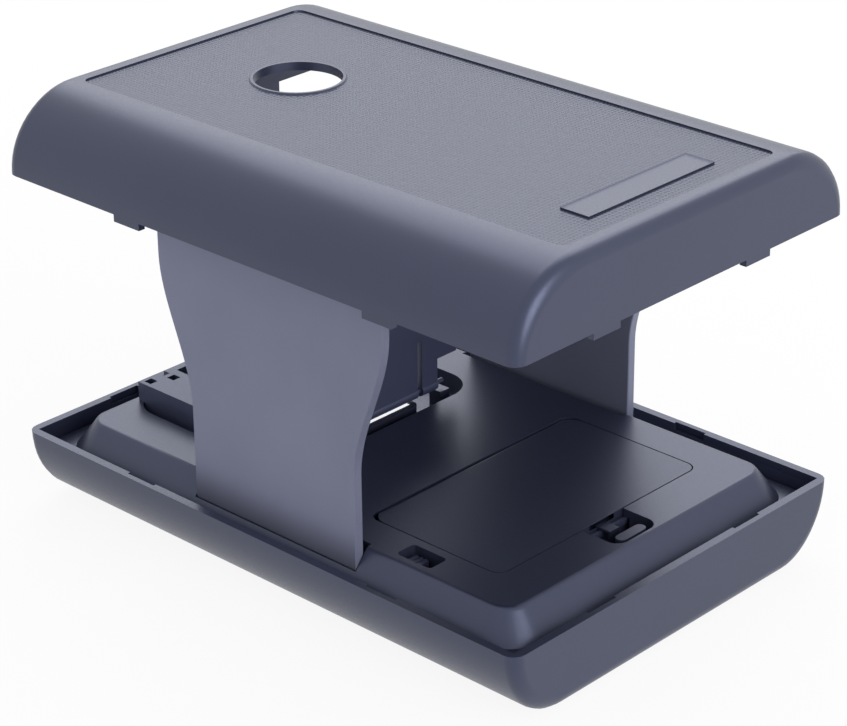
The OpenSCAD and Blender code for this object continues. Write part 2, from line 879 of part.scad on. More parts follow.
module battery_well() {
    low_z = floor_z;
    color(guide_black)
        difference() {
            union() {
                translate([door_mid_x, 0, low_z])
                    linear_extrude(well_top_z - low_z)
                        rounded_square([2 * well_half_x, 2 * well_half_y], door_corner_r);
                translate([door_mid_x, 0, deck_under_z - well_flange_t])
                    linear_extrude(well_flange_t)
                        difference() {
                            rounded_square([2 * (well_half_x + well_flange),
                                            2 * (well_half_y + well_flange)],
                                           door_corner_r + well_flange);
                            rounded_square([2 * well_half_x - 1, 2 * well_half_y - 1],
                                           door_corner_r);
                        }
            }
            translate([door_mid_x, 0, low_z + well_floor_t])
                linear_extrude(deck_z)
                    rounded_square([2 * (well_half_x - well_wall), 2 * (well_half_y - well_wall)], 1.5);
            translate([door_mid_x, 0, well_top_z])
                linear_extrude(deck_z)
                    rounded_square([door_length + 2 * part_gap, door_width + 2 * part_gap],
                                   door_corner_r);
            // ways for the door's hook tongues
            for (sy = [-1, 1])
                translate([door_left_x, sy * tongue_offset, well_top_z])
                    cube([tongue_way_length, tongue_width + 1, 2 * tongue_way_depth], center = true);
            // the finger recess's tub passes the flange here
            box_between([door_right_x + 1.2, -recess_width / 2 - recess_wall - part_gap, 0],
                        [door_right_x + 10, recess_width / 2 + recess_wall + part_gap, deck_z]);
        }
}

module battery_cells() {
    color(cell_silver)
        for (side = [-1, 1])
            translate([door_mid_x + side * cell_pitch / 2, 0, cell_axis_z])
                rotate([side * 90, 0, 0]) {
                    cylinder(d = cell_d, h = cell_length, center = true);
                    translate([0, 0, cell_length / 2 - 0.5])
                        cylinder(d = button_d, h = button_length + 0.5);
                }
}

// At each end of each cell a plate lies on the compartment's wall, with a leaf on the flat end.
module battery_contacts() {
    wall_y = well_half_y - well_wall;
    color(steel)
        for (side = [-1, 1], end = [-1, 1])
            let (
                button_end = end == -side,
                tip_y = cell_length / 2 + part_gap / 2 + (button_end ? button_length : 0)
            )
            translate([door_mid_x + side * cell_pitch / 2, 0, cell_axis_z])
                mirror([0, end < 0 ? 1 : 0, 0])
                    rotate([90, 0, 90])
                        linear_extrude(contact_width, center = true) {
                            translate([wall_y - contact_t, -contact_width / 2])
                                square([contact_t, contact_width]);
                            polygon([
                                [wall_y - contact_t, -contact_width / 2],
                                [tip_y, -contact_leaf_reach / 2],
                                [tip_y, contact_leaf_reach / 2],
                                [tip_y + contact_t, contact_leaf_reach / 2],
                                [tip_y + contact_t, -contact_leaf_reach / 2 + 0.2],
                                [wall_y - contact_t + slice_t, -contact_width / 2 + 0.9]
                            ]);
                        }
}

// A rounded rectangle. Its corners at the hinge end are rounder, so that they swing clear.
module door_outline(size, hinge_r, latch_r) {
    translate([(hinge_r - latch_r) / 2, 0])
        square([size[0] - hinge_r - latch_r, size[1]], center = true);
    for (end = [[-1, hinge_r], [1, latch_r]])
        translate([end[0] * (size[0] / 2 - end[1]), 0]) {
            translate([end[0] * end[1] / 2, 0])
                square([end[1], size[1] - 2 * end[1]], center = true);
            for (sy = [-1, 1])
                translate([0, sy * (size[1] / 2 - end[1])])
                    circle(end[1]);
        }
}

module battery_door() {
    spring_x = door_right_x - door_gap;
    bend_x = spring_x + latch_root;
    lip_x = door_right_x + part_gap + recess_length - lip_gap;
    top_z = deck_z - latch_sink;
    low_z = deck_z - latch_depth;
    color(door_black)
        union() {
            // plate, with a round nose on which it tilts
            intersection() {
                translate([door_mid_x, 0, deck_z - door_t])
                    linear_extrude(door_t)
                        door_outline([door_length - 2 * door_gap, door_width - 2 * door_gap],
                                     door_corner_r - door_gap + door_swing_relief,
                                     door_corner_r - door_gap);
                union() {
                    box_between([door_pivot_x, -half_width, deck_z - door_t - 1],
                                [half_length, half_width, deck_z + 1]);
                    translate([door_pivot_x, 0, door_pivot_z])
                        rotate([90, 0, 0])
                            cylinder(r = door_nose_r, h = door_width, center = true);
                }
            }
            // hook tongues under the deck's edge
            for (sy = [-1, 1])
                translate([0, sy * tongue_offset, 0])
                    along_y(tongue_width)
                        polygon([
                            [door_left_x - tongue_reach, deck_under_z - part_gap - tongue_t],
                            [door_left_x + 2, deck_under_z - part_gap - tongue_t],
                            [door_left_x + 2, deck_under_z + 0.5],
                            [door_left_x + door_gap + 0.1, deck_under_z + 0.5],
                            [door_left_x + door_gap + 0.1, deck_under_z - part_gap],
                            [door_left_x - tongue_reach, deck_under_z - part_gap]
                        ]);
            // latch spring: a U of thin plastic with a finger lip
            along_y(latch_width)
                polygon([
                    [spring_x - 1, top_z],
                    [bend_x, top_z],
                    [bend_x + latch_t, top_z - latch_t],
                    [bend_x + latch_t, low_z + latch_t + latch_bevel],
                    [bend_x + latch_t + latch_bevel, low_z + latch_t],
                    [lip_x - 2 * latch_t, low_z + latch_t],
                    [lip_x - 2 * latch_t + latch_bevel, low_z + latch_t + latch_bevel],
                    [lip_x - 2 * latch_t + latch_bevel, top_z],
                    [lip_x, top_z],
                    [lip_x, top_z - latch_t],
                    [lip_x - latch_t + latch_bevel, top_z - latch_bevel - latch_t],
                    [lip_x - latch_t + latch_bevel, low_z + latch_outer_bevel],
                    [lip_x - latch_t - latch_sink, low_z],
                    [bend_x + latch_outer_bevel, low_z],
                    [bend_x, low_z + latch_outer_bevel],
                    [bend_x, top_z - latch_bevel - latch_t],
                    [bend_x - latch_bevel, top_z - latch_t],
                    [spring_x - 1, top_z - latch_t]
                ]);
        }
}

// ---------- light switch ----------

module switch_body() {
    color(steel)
        translate([slot_mid_x, slot_mid_y, switch_top_z - switch_height])
            difference() {
                linear_extrude(switch_height)
                    square([slot_length + 2 * slot_wall, slot_width + 2 * slot_wall], center = true);
                translate([0, 0, switch_height - stem_depth - part_gap])
                    linear_extrude(switch_height)
                        square([knob_travel + stem_d + 2 * part_gap, stem_d + 2 * part_gap],
                               center = true);
            }
}

module switch_knob() {
    low_z = switch_top_z + part_gap;
    color("#8d9096")
        translate([knob_rest_x, slot_mid_y, 0]) {
            translate([0, 0, low_z])
                linear_extrude(knob_top_z - low_z - ridge_height)
                    square([knob_length, knob_width], center = true);
            // three grip ridges across the knob
            for (i = [-1 : 1])
                translate([i * knob_length / 3, 0, knob_top_z - ridge_height - ridge_weld])
                    linear_extrude(ridge_height + ridge_weld)
                        square([knob_length / 6, knob_width], center = true);
            translate([0, 0, switch_top_z - stem_depth])
                cylinder(d = stem_d, h = stem_depth + part_gap + 0.5);
        }
}

// ---------- fasteners and feet ----------

module housing_screws() {
    color(steel)
        for (place = screw_places, sy = [-1, 1])
            translate([place[0], sy * place[1], 0])
                difference() {
                    union() {
                        translate([0, 0, screw_seat_z - screw_head_t])
                            cylinder(d = screw_head_d, h = screw_head_t);
                        translate([0, 0, screw_seat_z - 0.1])
                            cylinder(d = screw_d, h = screw_tip_z - screw_seat_z);
                    }
                    // cross recess
                    for (a = [0, 90])
                        rotate([0, 0, a])
                            translate([0, 0, screw_seat_z - screw_head_t])
                                cube(cross_recess, center = true);
                }
}

module rubber_feet() {
    color(rubber_grey)
        for (sx = [-1, 1], sy = [-1, 1])
            translate([sx * (half_length - foot_inset_x), sy * foot_y, 0])
                cylinder(d = foot_d, h = foot_lift + foot_sunk);
}

base_shell();
base_deck();
film_guide();
light_diffuser();
light_reflector();
led_board();
board_screws();
battery_well();
battery_cells();
battery_contacts();
battery_door();
switch_body();
switch_knob();
film_flap();
flap_pin();
near_panel();
far_panel();
near_panel_pin();
far_panel_pin();
cover_shell();
cover_seats();
housing_screws();
rubber_feet();
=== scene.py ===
"""Looks for a folding film negative scanner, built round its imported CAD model."""

import math

import bmesh
import bpy
from bpy.props import FloatProperty, FloatVectorProperty, IntProperty, PointerProperty
from mathutils import Matrix, Vector


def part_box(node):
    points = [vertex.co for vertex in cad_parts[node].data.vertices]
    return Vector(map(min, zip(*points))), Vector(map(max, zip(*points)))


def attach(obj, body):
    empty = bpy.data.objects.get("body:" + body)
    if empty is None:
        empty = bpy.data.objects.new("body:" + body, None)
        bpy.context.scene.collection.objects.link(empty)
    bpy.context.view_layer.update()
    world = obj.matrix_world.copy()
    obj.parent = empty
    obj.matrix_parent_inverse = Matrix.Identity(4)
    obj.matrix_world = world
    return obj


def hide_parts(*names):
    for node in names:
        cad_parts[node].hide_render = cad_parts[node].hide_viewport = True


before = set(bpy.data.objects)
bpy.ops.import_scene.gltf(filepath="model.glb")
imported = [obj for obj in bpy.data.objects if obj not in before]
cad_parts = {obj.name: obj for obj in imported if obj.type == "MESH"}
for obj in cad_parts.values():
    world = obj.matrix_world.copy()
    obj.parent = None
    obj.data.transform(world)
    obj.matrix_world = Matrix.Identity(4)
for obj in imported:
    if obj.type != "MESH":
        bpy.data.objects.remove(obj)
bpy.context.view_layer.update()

bl_info = {
    "name": "Folding Film Scanner",
    "version": (1, 0, 0),
    "blender": (4, 5, 0),
    "location": "View3D > Sidebar > Scanner",
    "description": "Finishes and stages a folding film negative scanner",
    "category": "Object",
}

MM = 0.001
PLAIN_GLOSS = (0.5, (1, 1, 1, 1))  # a shader's usual specular level and tint
ABS_IOR = 1.53
MERGE_DISTANCE = 0.002 * MM  # CAD corners nearer than this are one
FLAT_ANGLE = math.radians(0.4)  # triangles that differ less lie in one face
SMOOTH_ANGLE = math.radians(30)  # sharper than this stays an edge in the shading
EDGE_ANGLE = math.radians(35)  # sharper than this is eased
UPWARDS = 0.99  # a face whose normal's Z is above this faces up
ROUGHNESS = {
    "shell": 0.35, "grip": 0.36, "door": 0.38, "guide": 0.4,
    "panel": 0.42, "knob": 0.45, "well": 0.5, "board": 0.55,
}


# ---------- small helpers ----------

def linear(hex_colour):
    """Turns an sRGB hex colour into a linear one with alpha."""
    channels = [int(hex_colour[i:i + 2], 16) / 255 for i in (1, 3, 5)]
    return tuple(
        c / 12.92 if c <= 0.04045 else ((c + 0.055) / 1.055) ** 2.4 for c in channels
    ) + (1.0,)


def add_node(tree, kind, links=None, inputs=None, **settings):
    """Adds a node with its settings, its input values and the sockets that feed it."""
    node = tree.nodes.new(kind)
    for name, value in settings.items():
        setattr(node, name, value)
    for name, value in (inputs or {}).items():
        node.inputs[name].default_value = value
    for name, source in (links or {}).items():
        tree.links.new(source, node.inputs[name])
    return node


def new_material(name):
    """A node material with its shader and its Object coordinates."""
    material = bpy.data.materials.new(name)
    material.use_nodes = True
    tree = material.node_tree
    tree.nodes.clear()
    shader = add_node(tree, "ShaderNodeBsdfPrincipled")
    add_node(tree, "ShaderNodeOutputMaterial", links={"Surface": shader.outputs["BSDF"]})
    place = add_node(tree, "ShaderNodeTexCoord").outputs["Object"]
    return material, tree, shader, place


def feature_scale(size_mm):
    """The noise scale whose features measure about that many millimetres."""
    return 1 / (size_mm * MM)


def band_scale(pitch_mm):
    """The wave scale whose bands repeat at that many millimetres."""
    return 2 * math.pi / (20 * pitch_mm * MM)


def finishes():
    return bpy.context.scene.scanner_finishes


def satin():
    """The dark mouldings' gloss: its level and its tint."""
    return finishes().gloss_level, tuple(finishes().gloss_tint)


def put_material(piece, material):
    piece.data.materials.clear()
    piece.data.materials.append(material)


def dress(node, material):
    """Gives a CAD node its material."""
    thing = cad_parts[node]
    if not thing.material_slots:
        thing.data.materials.append(material)
    for slot in thing.material_slots:
        slot.material = material


def finished_copy(node, body, material, edge_mm, rework=None):
    """A copy of a CAD node with merged faces, eased edges and smooth curved walls.
    The rework function may change its shape first."""
    mesh = bpy.data.meshes.new(node + "_finished")
    shape = bmesh.new()
    shape.from_mesh(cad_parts[node].data)
    bmesh.ops.remove_doubles(shape, verts=shape.verts, dist=MERGE_DISTANCE)
    bmesh.ops.dissolve_limit(
        shape, angle_limit=FLAT_ANGLE, verts=shape.verts, edges=shape.edges,
        use_dissolve_boundaries=False,
    )
    if rework:
        rework(shape)
    shape.to_mesh(mesh)
    shape.free()
    piece = bpy.data.objects.new(node + "_finished", mesh)
    bpy.context.collection.objects.link(piece)
    put_material(piece, material)
    for polygon in mesh.polygons:
        polygon.use_smooth = True
    mesh.set_sharp_from_angle(angle=SMOOTH_ANGLE)
    bevel = piece.modifiers.new("eased_edges", "BEVEL")
    bevel.width = edge_mm * MM
    bevel.segments = 2
    bevel.limit_method = "ANGLE"
    bevel.angle_limit = EDGE_ANGLE
    bevel.use_clamp_overlap = True
    bevel.miter_outer = "MITER_ARC"
    shading = piece.modifiers.new("even_shading", "WEIGHTED_NORMAL")
    shading.keep_sharp = True
    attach(piece, body)
    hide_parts(node)
    return piece


def add_prism(shape, outline, low, high, across=False):
    """Adds a closed prism: an outline in X and Y raised along Z, or in X and Z along Y."""
    rings = []
    for level in (low, high):
        corners = [(a, level, b) if across else (a, b, level) for a, b in outline]
        rings.append([shape.verts.new(corner) for corner in corners])
    count = len(outline)
    faces = [shape.faces.new(ring) for ring in rings]
    for i in range(count):
        j = (i + 1) % count
        faces.append(shape.faces.new((rings[0][i], rings[0][j], rings[1][j], rings[1][i])))
    bmesh.ops.recalc_face_normals(shape, faces=faces)


def oblong(x, length, width):
    """The outline of an oblong with rounded corners, centred on y = 0."""
    radius, steps = length / 2, 6
    points = []
    for corner in range(4):
        side = 1 if corner in (0, 1) else -1
        for i in range(steps + 1):
            angle = math.pi / 2 * (corner + i / steps)
            points.append((x + radius * math.cos(angle),
                           side * (width / 2 - radius) + radius * math.sin(angle)))
    return points


# ---------- finishes ----------

def spark_textured_abs(name, colour, grit_mm, roughness, satin_gloss=PLAIN_GLOSS):
    """Injection-moulded ABS from a spark-eroded mould: an even matte grain with a soft gloss."""
    grain_depth, patch_mm, spread = 0.02 * MM, 28, 0.05
    material, tree, shader, place = new_material(name)
    grain = add_node(
        tree, "ShaderNodeTexNoise", links={"Vector": place},
        inputs={"Scale": feature_scale(grit_mm), "Detail": 3.0, "Roughness": 0.6},
    )
    cloud = add_node(
        tree, "ShaderNodeTexNoise", links={"Vector": place},
        inputs={"Scale": feature_scale(patch_mm), "Detail": 4.0, "Roughness": 0.55},
    )
    tone = add_node(
        tree, "ShaderNodeMapRange", links={"Value": cloud.outputs["Fac"]},
        inputs={"From Min": 0.3, "From Max": 0.7, "To Min": 0.93, "To Max": 1.07},
    )
    tint = add_node(
        tree, "ShaderNodeVectorMath", links={1: tone.outputs["Result"]}, operation="MULTIPLY",
        inputs={0: colour[:3]},
    )
    tree.links.new(tint.outputs["Vector"], shader.inputs["Base Color"])
    gloss = add_node(
        tree, "ShaderNodeMapRange", links={"Value": grain.outputs["Fac"]},
        inputs={"From Min": 0.3, "From Max": 0.7, "To Min": roughness - spread,
                "To Max": roughness + spread},
    )
    tree.links.new(gloss.outputs["Result"], shader.inputs["Roughness"])
    relief = add_node(
        tree, "ShaderNodeBump", links={"Height": grain.outputs["Fac"]},
        inputs={"Strength": 0.35, "Distance": grain_depth},
    )
    tree.links.new(relief.outputs["Normal"], shader.inputs["Normal"])
    shader.inputs["IOR"].default_value = ABS_IOR
    shader.inputs["Specular IOR Level"].default_value = satin_gloss[0]
    shader.inputs["Specular Tint"].default_value = satin_gloss[1]
    return material


def woven_grip_abs(name, colour, pitch_mm, roughness, satin_gloss):
    """ABS moulded with a fine square weave that keeps a phone from sliding.
    The real pitch is near a third of a millimetre; it is drawn coarser so that it shows."""
    patch_mm, patch_share, relief_depth = 35, 0.2, 0.12 * MM
    material, tree, shader, place = new_material(name)
    across = add_node(
        tree, "ShaderNodeTexWave", links={"Vector": place}, wave_type="BANDS",
        bands_direction="X", wave_profile="SIN", inputs={"Scale": band_scale(pitch_mm)},
    )
    along = add_node(
        tree, "ShaderNodeTexWave", links={"Vector": place}, wave_type="BANDS",
        bands_direction="Y", wave_profile="SIN", inputs={"Scale": band_scale(pitch_mm)},
    )
    weave = add_node(
        tree, "ShaderNodeMath", operation="MULTIPLY",
        links={0: across.outputs["Fac"], 1: along.outputs["Fac"]},
    )
    cloud = add_node(
        tree, "ShaderNodeTexNoise", links={"Vector": place},
        inputs={"Scale": feature_scale(patch_mm), "Detail": 3.0, "Roughness": 0.5},
    )
    height = add_node(
        tree, "ShaderNodeMath", operation="MULTIPLY_ADD",
        links={0: cloud.outputs["Fac"], 2: weave.outputs["Value"]}, inputs={1: patch_share},
    )
    # painted shade and highlight: the colour darkens where the weave lies low and lightens where it
    # stands high; the patch cloud adds a real random tone
    tone = add_node(
        tree, "ShaderNodeMapRange", links={"Value": height.outputs["Value"]},
        inputs={"From Min": 0.0, "From Max": 1.1, "To Min": 0.8, "To Max": 1.18},
    )
    tint = add_node(
        tree, "ShaderNodeVectorMath", links={1: tone.outputs["Result"]}, operation="MULTIPLY",
        inputs={0: colour[:3]},
    )
    tree.links.new(tint.outputs["Vector"], shader.inputs["Base Color"])
    relief = add_node(
        tree, "ShaderNodeBump", links={"Height": height.outputs["Value"]},
        inputs={"Strength": 0.8, "Distance": relief_depth},
    )
    tree.links.new(relief.outputs["Normal"], shader.inputs["Normal"])
    shader.inputs["Roughness"].default_value = roughness
    shader.inputs["IOR"].default_value = ABS_IOR
    shader.inputs["Specular IOR Level"].default_value = satin_gloss[0]
    shader.inputs["Specular Tint"].default_value = satin_gloss[1]
    return material


def opal_acrylic_painted_glow(name, colour):
    """Cast opal acrylic: milky white, even and a little glossy, so that it spreads the light. It
    also glows white by itself: a painted glow in place of the light of the LEDs behind it.
    """
    material, tree, shader, place = new_material(name)
    cloud = add_node(
        tree, "ShaderNodeTexNoise", links={"Vector": place},
        inputs={"Scale": feature_scale(9), "Detail": 2.0},
    )
    tone = add_node(
        tree, "ShaderNodeMapRange", links={"Value": cloud.outputs["Fac"]},
        inputs={"From Min": 0.3, "From Max": 0.7, "To Min": 0.97, "To Max": 1.0},
    )
    tint = add_node(
        tree, "ShaderNodeVectorMath", links={1: tone.outputs["Result"]}, operation="MULTIPLY",
        inputs={0: colour[:3]},
    )
    tree.links.new(tint.outputs["Vector"], shader.inputs["Base Color"])
    shader.inputs["Roughness"].default_value = 0.3
    shader.inputs["IOR"].default_value = 1.49
    # painted glow: the diffuser shines as if lit from behind, though no lamp in the scene lights it
    shader.inputs["Emission Color"].default_value = (1, 1, 1, 1)
    shader.inputs["Emission Strength"].default_value = 0.7
    return material


def drawn_steel(name, colour):
    """Bright drawn steel: fine lines along its length in a low gloss."""
    lay_mm, stretch_by = 0.25, 8
    material, tree, shader, place = new_material(name)
    stretch = add_node(
        tree, "ShaderNodeMapping", links={"Vector": place},
        inputs={"Scale": (1, stretch_by, stretch_by)},
    )
    lines = add_node(
        tree, "ShaderNodeTexNoise", links={"Vector": stretch.outputs["Vector"]},
        inputs={"Scale": feature_scale(lay_mm * stretch_by), "Detail": 3.0},
    )
    gloss = add_node(
        tree, "ShaderNodeMapRange", links={"Value": lines.outputs["Fac"]},
        inputs={"From Min": 0.3, "From Max": 0.7, "To Min": 0.24, "To Max": 0.42},
    )
    tree.links.new(gloss.outputs["Result"], shader.inputs["Roughness"])
    relief = add_node(
        tree, "ShaderNodeBump", links={"Height": lines.outputs["Fac"]},
        inputs={"Strength": 0.15, "Distance": 0.01 * MM},
    )
    tree.links.new(relief.outputs["Normal"], shader.inputs["Normal"])
    shader.inputs["Base Color"].default_value = colour
    shader.inputs["Metallic"].default_value = 1.0
    return material


def wrapped_cell(name, band, metal, cell_end_mm):
    """A cell's shrink sleeve, bare of print: dark along the body and metal coloured at its ends."""
    bare_mm = 0.8
    material, tree, shader, place = new_material(name)
    parts = add_node(tree, "ShaderNodeSeparateXYZ", links={"Vector": place})
    reach = add_node(
        tree, "ShaderNodeMath", operation="ABSOLUTE", links={0: parts.outputs["Y"]},
    )
    sleeve = add_node(
        tree, "ShaderNodeMath", operation="LESS_THAN", links={0: reach.outputs["Value"]},
        inputs={1: (cell_end_mm - bare_mm) * MM},
    )
    skin = add_node(
        tree, "ShaderNodeMix", data_type="RGBA", links={"Factor": sleeve.outputs["Value"]},
        inputs={"A": metal, "B": band},
    )
    tree.links.new(skin.outputs["Result"], shader.inputs["Base Color"])
    bare = add_node(
        tree, "ShaderNodeMath", operation="SUBTRACT", links={1: sleeve.outputs["Value"]},
        inputs={0: 1.0},
    )
    tree.links.new(bare.outputs["Value"], shader.inputs["Metallic"])
    scuffs = add_node(
        tree, "ShaderNodeTexNoise", links={"Vector": place},
        inputs={"Scale": feature_scale(2), "Detail": 4.0},
    )
    gloss = add_node(
        tree, "ShaderNodeMapRange", links={"Value": scuffs.outputs["Fac"]},
        inputs={"From Min": 0.3, "From Max": 0.7, "To Min": 0.25, "To Max": 0.38},
    )
    tree.links.new(gloss.outputs["Result"], shader.inputs["Roughness"])
    return material


def moulded_rubber(name, colour):
    """Moulded rubber: dead matte with a fine dusty grain."""
    material, tree, shader, place = new_material(name)
    dust = add_node(
        tree, "ShaderNodeTexNoise", links={"Vector": place},
        inputs={"Scale": feature_scale(0.5), "Detail": 4.0},
    )
    relief = add_node(
        tree, "ShaderNodeBump", links={"Height": dust.outputs["Fac"]},
        inputs={"Strength": 0.4, "Distance": 0.04 * MM},
    )
    tree.links.new(relief.outputs["Normal"], shader.inputs["Normal"])
    shader.inputs["Base Color"].default_value = colour
    shader.inputs["Roughness"].default_value = 0.85
    return material


# ---------- settings ----------

class ScannerFinishes(bpy.types.PropertyGroup):
    """Colours and surface sizes of the scanner's finishes"""
    shell: FloatVectorProperty(
        name="Shell", description="Colour of the base and cover mouldings",
        subtype="COLOR", size=4, min=0, max=1, default=linear("#292c3d"))
    # painted reflection: the side panels are of the shell's dark plastic, and this lighter colour
    # stands in for the bright floor that their faces reflect
    panel: FloatVectorProperty(
        name="Side panels", description="Colour of the side panels",
        subtype="COLOR", size=4, min=0, max=1, default=linear("#6f7286"))
    guide: FloatVectorProperty(
        name="Film guide", description="Colour of the film guide, the flap and the battery well",
        subtype="COLOR", size=4, min=0, max=1, default=linear("#3c4056"))
    diffuser: FloatVectorProperty(
        name="Diffuser", description="Colour of the light window",
        subtype="COLOR", size=4, min=0, max=1, default=linear("#f4f5f2"))
    board: FloatVectorProperty(
        name="Board", description="Colour of the reflector and the light board",
        subtype="COLOR", size=4, min=0, max=1, default=linear("#e2e5e0"))
    steel: FloatVectorProperty(
        name="Steel", description="Colour of screws, panel pins and contacts",
        subtype="COLOR", size=4, min=0, max=1, default=linear("#b7b9bc"))
    sleeve: FloatVectorProperty(
        name="Cell sleeve", description="Colour of the cells' plain sleeves",
        subtype="COLOR", size=4, min=0, max=1, default=linear("#2f4a63"))
    knob: FloatVectorProperty(
        name="Switch knob", description="Colour of the light switch's knob",
        subtype="COLOR", size=4, min=0, max=1, default=linear("#292c3d"))
    rubber: FloatVectorProperty(
        name="Rubber", description="Colour of the rubber feet",
        subtype="COLOR", size=4, min=0, max=1, default=linear("#1d1d1f"))
    grain: FloatProperty(
        name="Grain", description="Size of the mouldings' grain in millimetres",
        min=0.1, max=2, default=0.45)
    weave: FloatProperty(
        name="Grip weave", description="Pitch of the grip's weave in millimetres",
        min=0.2, max=3, default=1.0)
    gloss_level: FloatProperty(
        name="Gloss", description="Strength of the dark mouldings' satin gloss, 0.5 is plain",
        min=0, max=1, default=0.85)
    gloss_tint: FloatVectorProperty(
        name="Gloss tint", description="Cool tint of the dark mouldings' gloss",
        subtype="COLOR", size=4, min=0, max=1, default=linear("#cfd8ff"))
    shell_edge: FloatProperty(
        name="Shell edge", description="Radius of the shells' eased edges in millimetres",
        min=0.05, max=1, default=0.3)
    small_edge: FloatProperty(
        name="Small edge", description="Radius of the small pieces' eased edges in millimetres",
        min=0.02, max=0.5, default=0.15)


class ScannerSprings(bpy.types.PropertyGroup):
    """Sizes of the battery compartment's coil springs"""
    turns: IntProperty(
        name="Turns", description="Turns of each coil spring", min=2, max=10, default=5)
    wire: FloatProperty(
        name="Wire", description="Diameter of the spring wire in millimetres",
        min=0.3, max=1.2, default=0.6)
    wide_end: FloatProperty(
        name="Wide end", description="Radius of a spring at the compartment's wall, in millimetres",
        min=2, max=5, default=3.6)
    narrow_end: FloatProperty(
        name="Narrow end", description="Radius of a spring at the cell, in millimetres",
        min=1, max=4, default=2.0)


class ScannerStage(bpy.types.PropertyGroup):
    """Camera, floor and lights"""
    camera_place: FloatVectorProperty(
        name="Camera place", description="Where the camera stands",
        subtype="TRANSLATION", unit="LENGTH", size=3, default=(0.38862, -0.40614, 0.30726))
    camera_target: FloatVectorProperty(
        name="Camera target", description="The point at the middle of the picture",
        subtype="TRANSLATION", unit="LENGTH", size=3, default=(-0.00542, 0.00707, 0.03631))
    camera_roll: FloatProperty(
        name="Camera roll", description="Turn of the camera about its own view",
        subtype="ANGLE", default=math.radians(-0.6))
    lens: FloatProperty(
        name="Lens", description="Focal length in millimetres on a 36 mm wide sensor",
        min=20, max=300, default=119.4)
    floor_colour: FloatVectorProperty(
        name="Floor", description="Colour of the floor",
        subtype="COLOR", size=4, min=0, max=1, default=linear("#f7f7f8"))
    sky_strength: FloatProperty(
        name="Surround light", description="Strength of the even light from all round",
        min=0, max=3, default=0.62)
    top_power: FloatProperty(
        name="Top light", description="Power of the soft light above and behind",
        min=0, max=50, default=4.2)
    side_power: FloatProperty(
        name="Side light", description="Power of the soft light on the right",
        min=0, max=50, default=4.5)


# ---------- reworked shapes ----------

def frame_name_bar(shape):
    """Sinks the bare name bar's field, so that a thin frame stands round it."""
    frame_width, depth = 0.7 * MM, 0.3 * MM
    beyond_x, largest_area, same_level = 55 * MM, 400 * MM * MM, 0.05 * MM
    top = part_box("cover_shell")[1][2]
    field = [
        face for face in shape.faces
        if face.normal.z > UPWARDS and abs(face.calc_center_median().z - top) < same_level
        and face.calc_center_median().x > beyond_x and face.calc_area() < largest_area
    ]
    if len(field) != 1:
        raise ValueError("the name bar's top face wasn't found")
    bmesh.ops.inset_individual(shape, faces=field, thickness=frame_width, depth=-depth)


def rounded_latch(shape):
    """Swaps the door's plain latch for a low spring and a rounded finger tongue."""
    low, high = (Vector(corner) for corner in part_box("battery_door"))
    beside_latch, same_edge = 10 * MM, 0.05 * MM
    spring_half, spring_t, spring_run, spring_sink = 1.5 * MM, 0.6 * MM, 6.5 * MM, 1.8 * MM
    tongue_length, tongue_width, tongue_sink = 2.6 * MM, 8.6 * MM, 0.25 * MM
    tongue_gap, root_overlap = 0.2 * MM, 0.5 * MM
    plate_edge = max(v.co.x for v in shape.verts if abs(v.co.y) > beside_latch)
    bmesh.ops.delete(
        shape, geom=[v for v in shape.verts if v.co.x > plate_edge + same_edge], context="VERTS")
    bmesh.ops.holes_fill(shape, edges=[edge for edge in shape.edges if edge.is_boundary])
    tongue_x = high.x - tongue_length / 2 - tongue_gap
    leg_x = high.x - spring_run
    root_x, root_z = plate_edge - root_overlap, high.z - spring_sink
    add_prism(shape, [
        (root_x, root_z), (leg_x, root_z), (leg_x, low.z), (tongue_x, low.z),
        (tongue_x, low.z + spring_t), (leg_x + spring_t, low.z + spring_t),
        (leg_x + spring_t, root_z + spring_t), (root_x, root_z + spring_t),
    ], -spring_half, spring_half, across=True)
    add_prism(shape, oblong(tongue_x, tongue_length, tongue_width), low.z, high.z - tongue_sink)


def low_ridges(shape):
    """Wears the knob's three finger ridges down to soft low ones."""
    ridge, kept = 0.8 * MM, 0.25
    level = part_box("switch_knob")[1][2] - ridge
    for vert in shape.verts:
        if vert.co.z > level:
            vert.co.z = level + (vert.co.z - level) * kept


def long_tabs(shape):
    """Lengthens the cover's snap tabs to what shows under its rim."""
    tab_end, more, same_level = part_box("cover_shell")[0][2], 1.4 * MM, 0.1 * MM
    for vert in shape.verts:
        if vert.co.z < tab_end + same_level:
            vert.co.z -= more


def cover_details(shape):
    """The cover's bare name bar and its snap tabs."""
    frame_name_bar(shape)
    long_tabs(shape)


# ---------- pieces ----------

class SCANNER_OT_shells(bpy.types.Operator):
    """Finish the base, the deck and the cover mouldings"""
    bl_idname = "scanner.shells"
    bl_label = "Shells"

    def execute(self, context):
        finish = finishes()
        abs_shell = spark_textured_abs("matte_abs_shell", finish.shell, finish.grain,
                                       ROUGHNESS["shell"], satin())
        grip = woven_grip_abs("woven_grip_abs", finish.shell, finish.weave,
                              ROUGHNESS["grip"], satin())
        finished_copy("base_shell", "base", abs_shell, finish.shell_edge)
        finished_copy("base_deck", "base", abs_shell, finish.small_edge)
        cover = finished_copy("cover_shell", "cover", abs_shell, finish.shell_edge,
                              rework=cover_details)
        cover.data.materials.append(grip)
        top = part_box("cover_shell")[1][2]
        grip_top, grip_low = top - 0.35 * MM, top - 1.2 * MM
        for polygon in cover.data.polygons:
            if polygon.normal.z > UPWARDS and grip_low < polygon.center.z < grip_top:
                polygon.material_index = 1
        finished_copy("cover_seats", "cover", abs_shell, finish.small_edge)
        return {"FINISHED"}


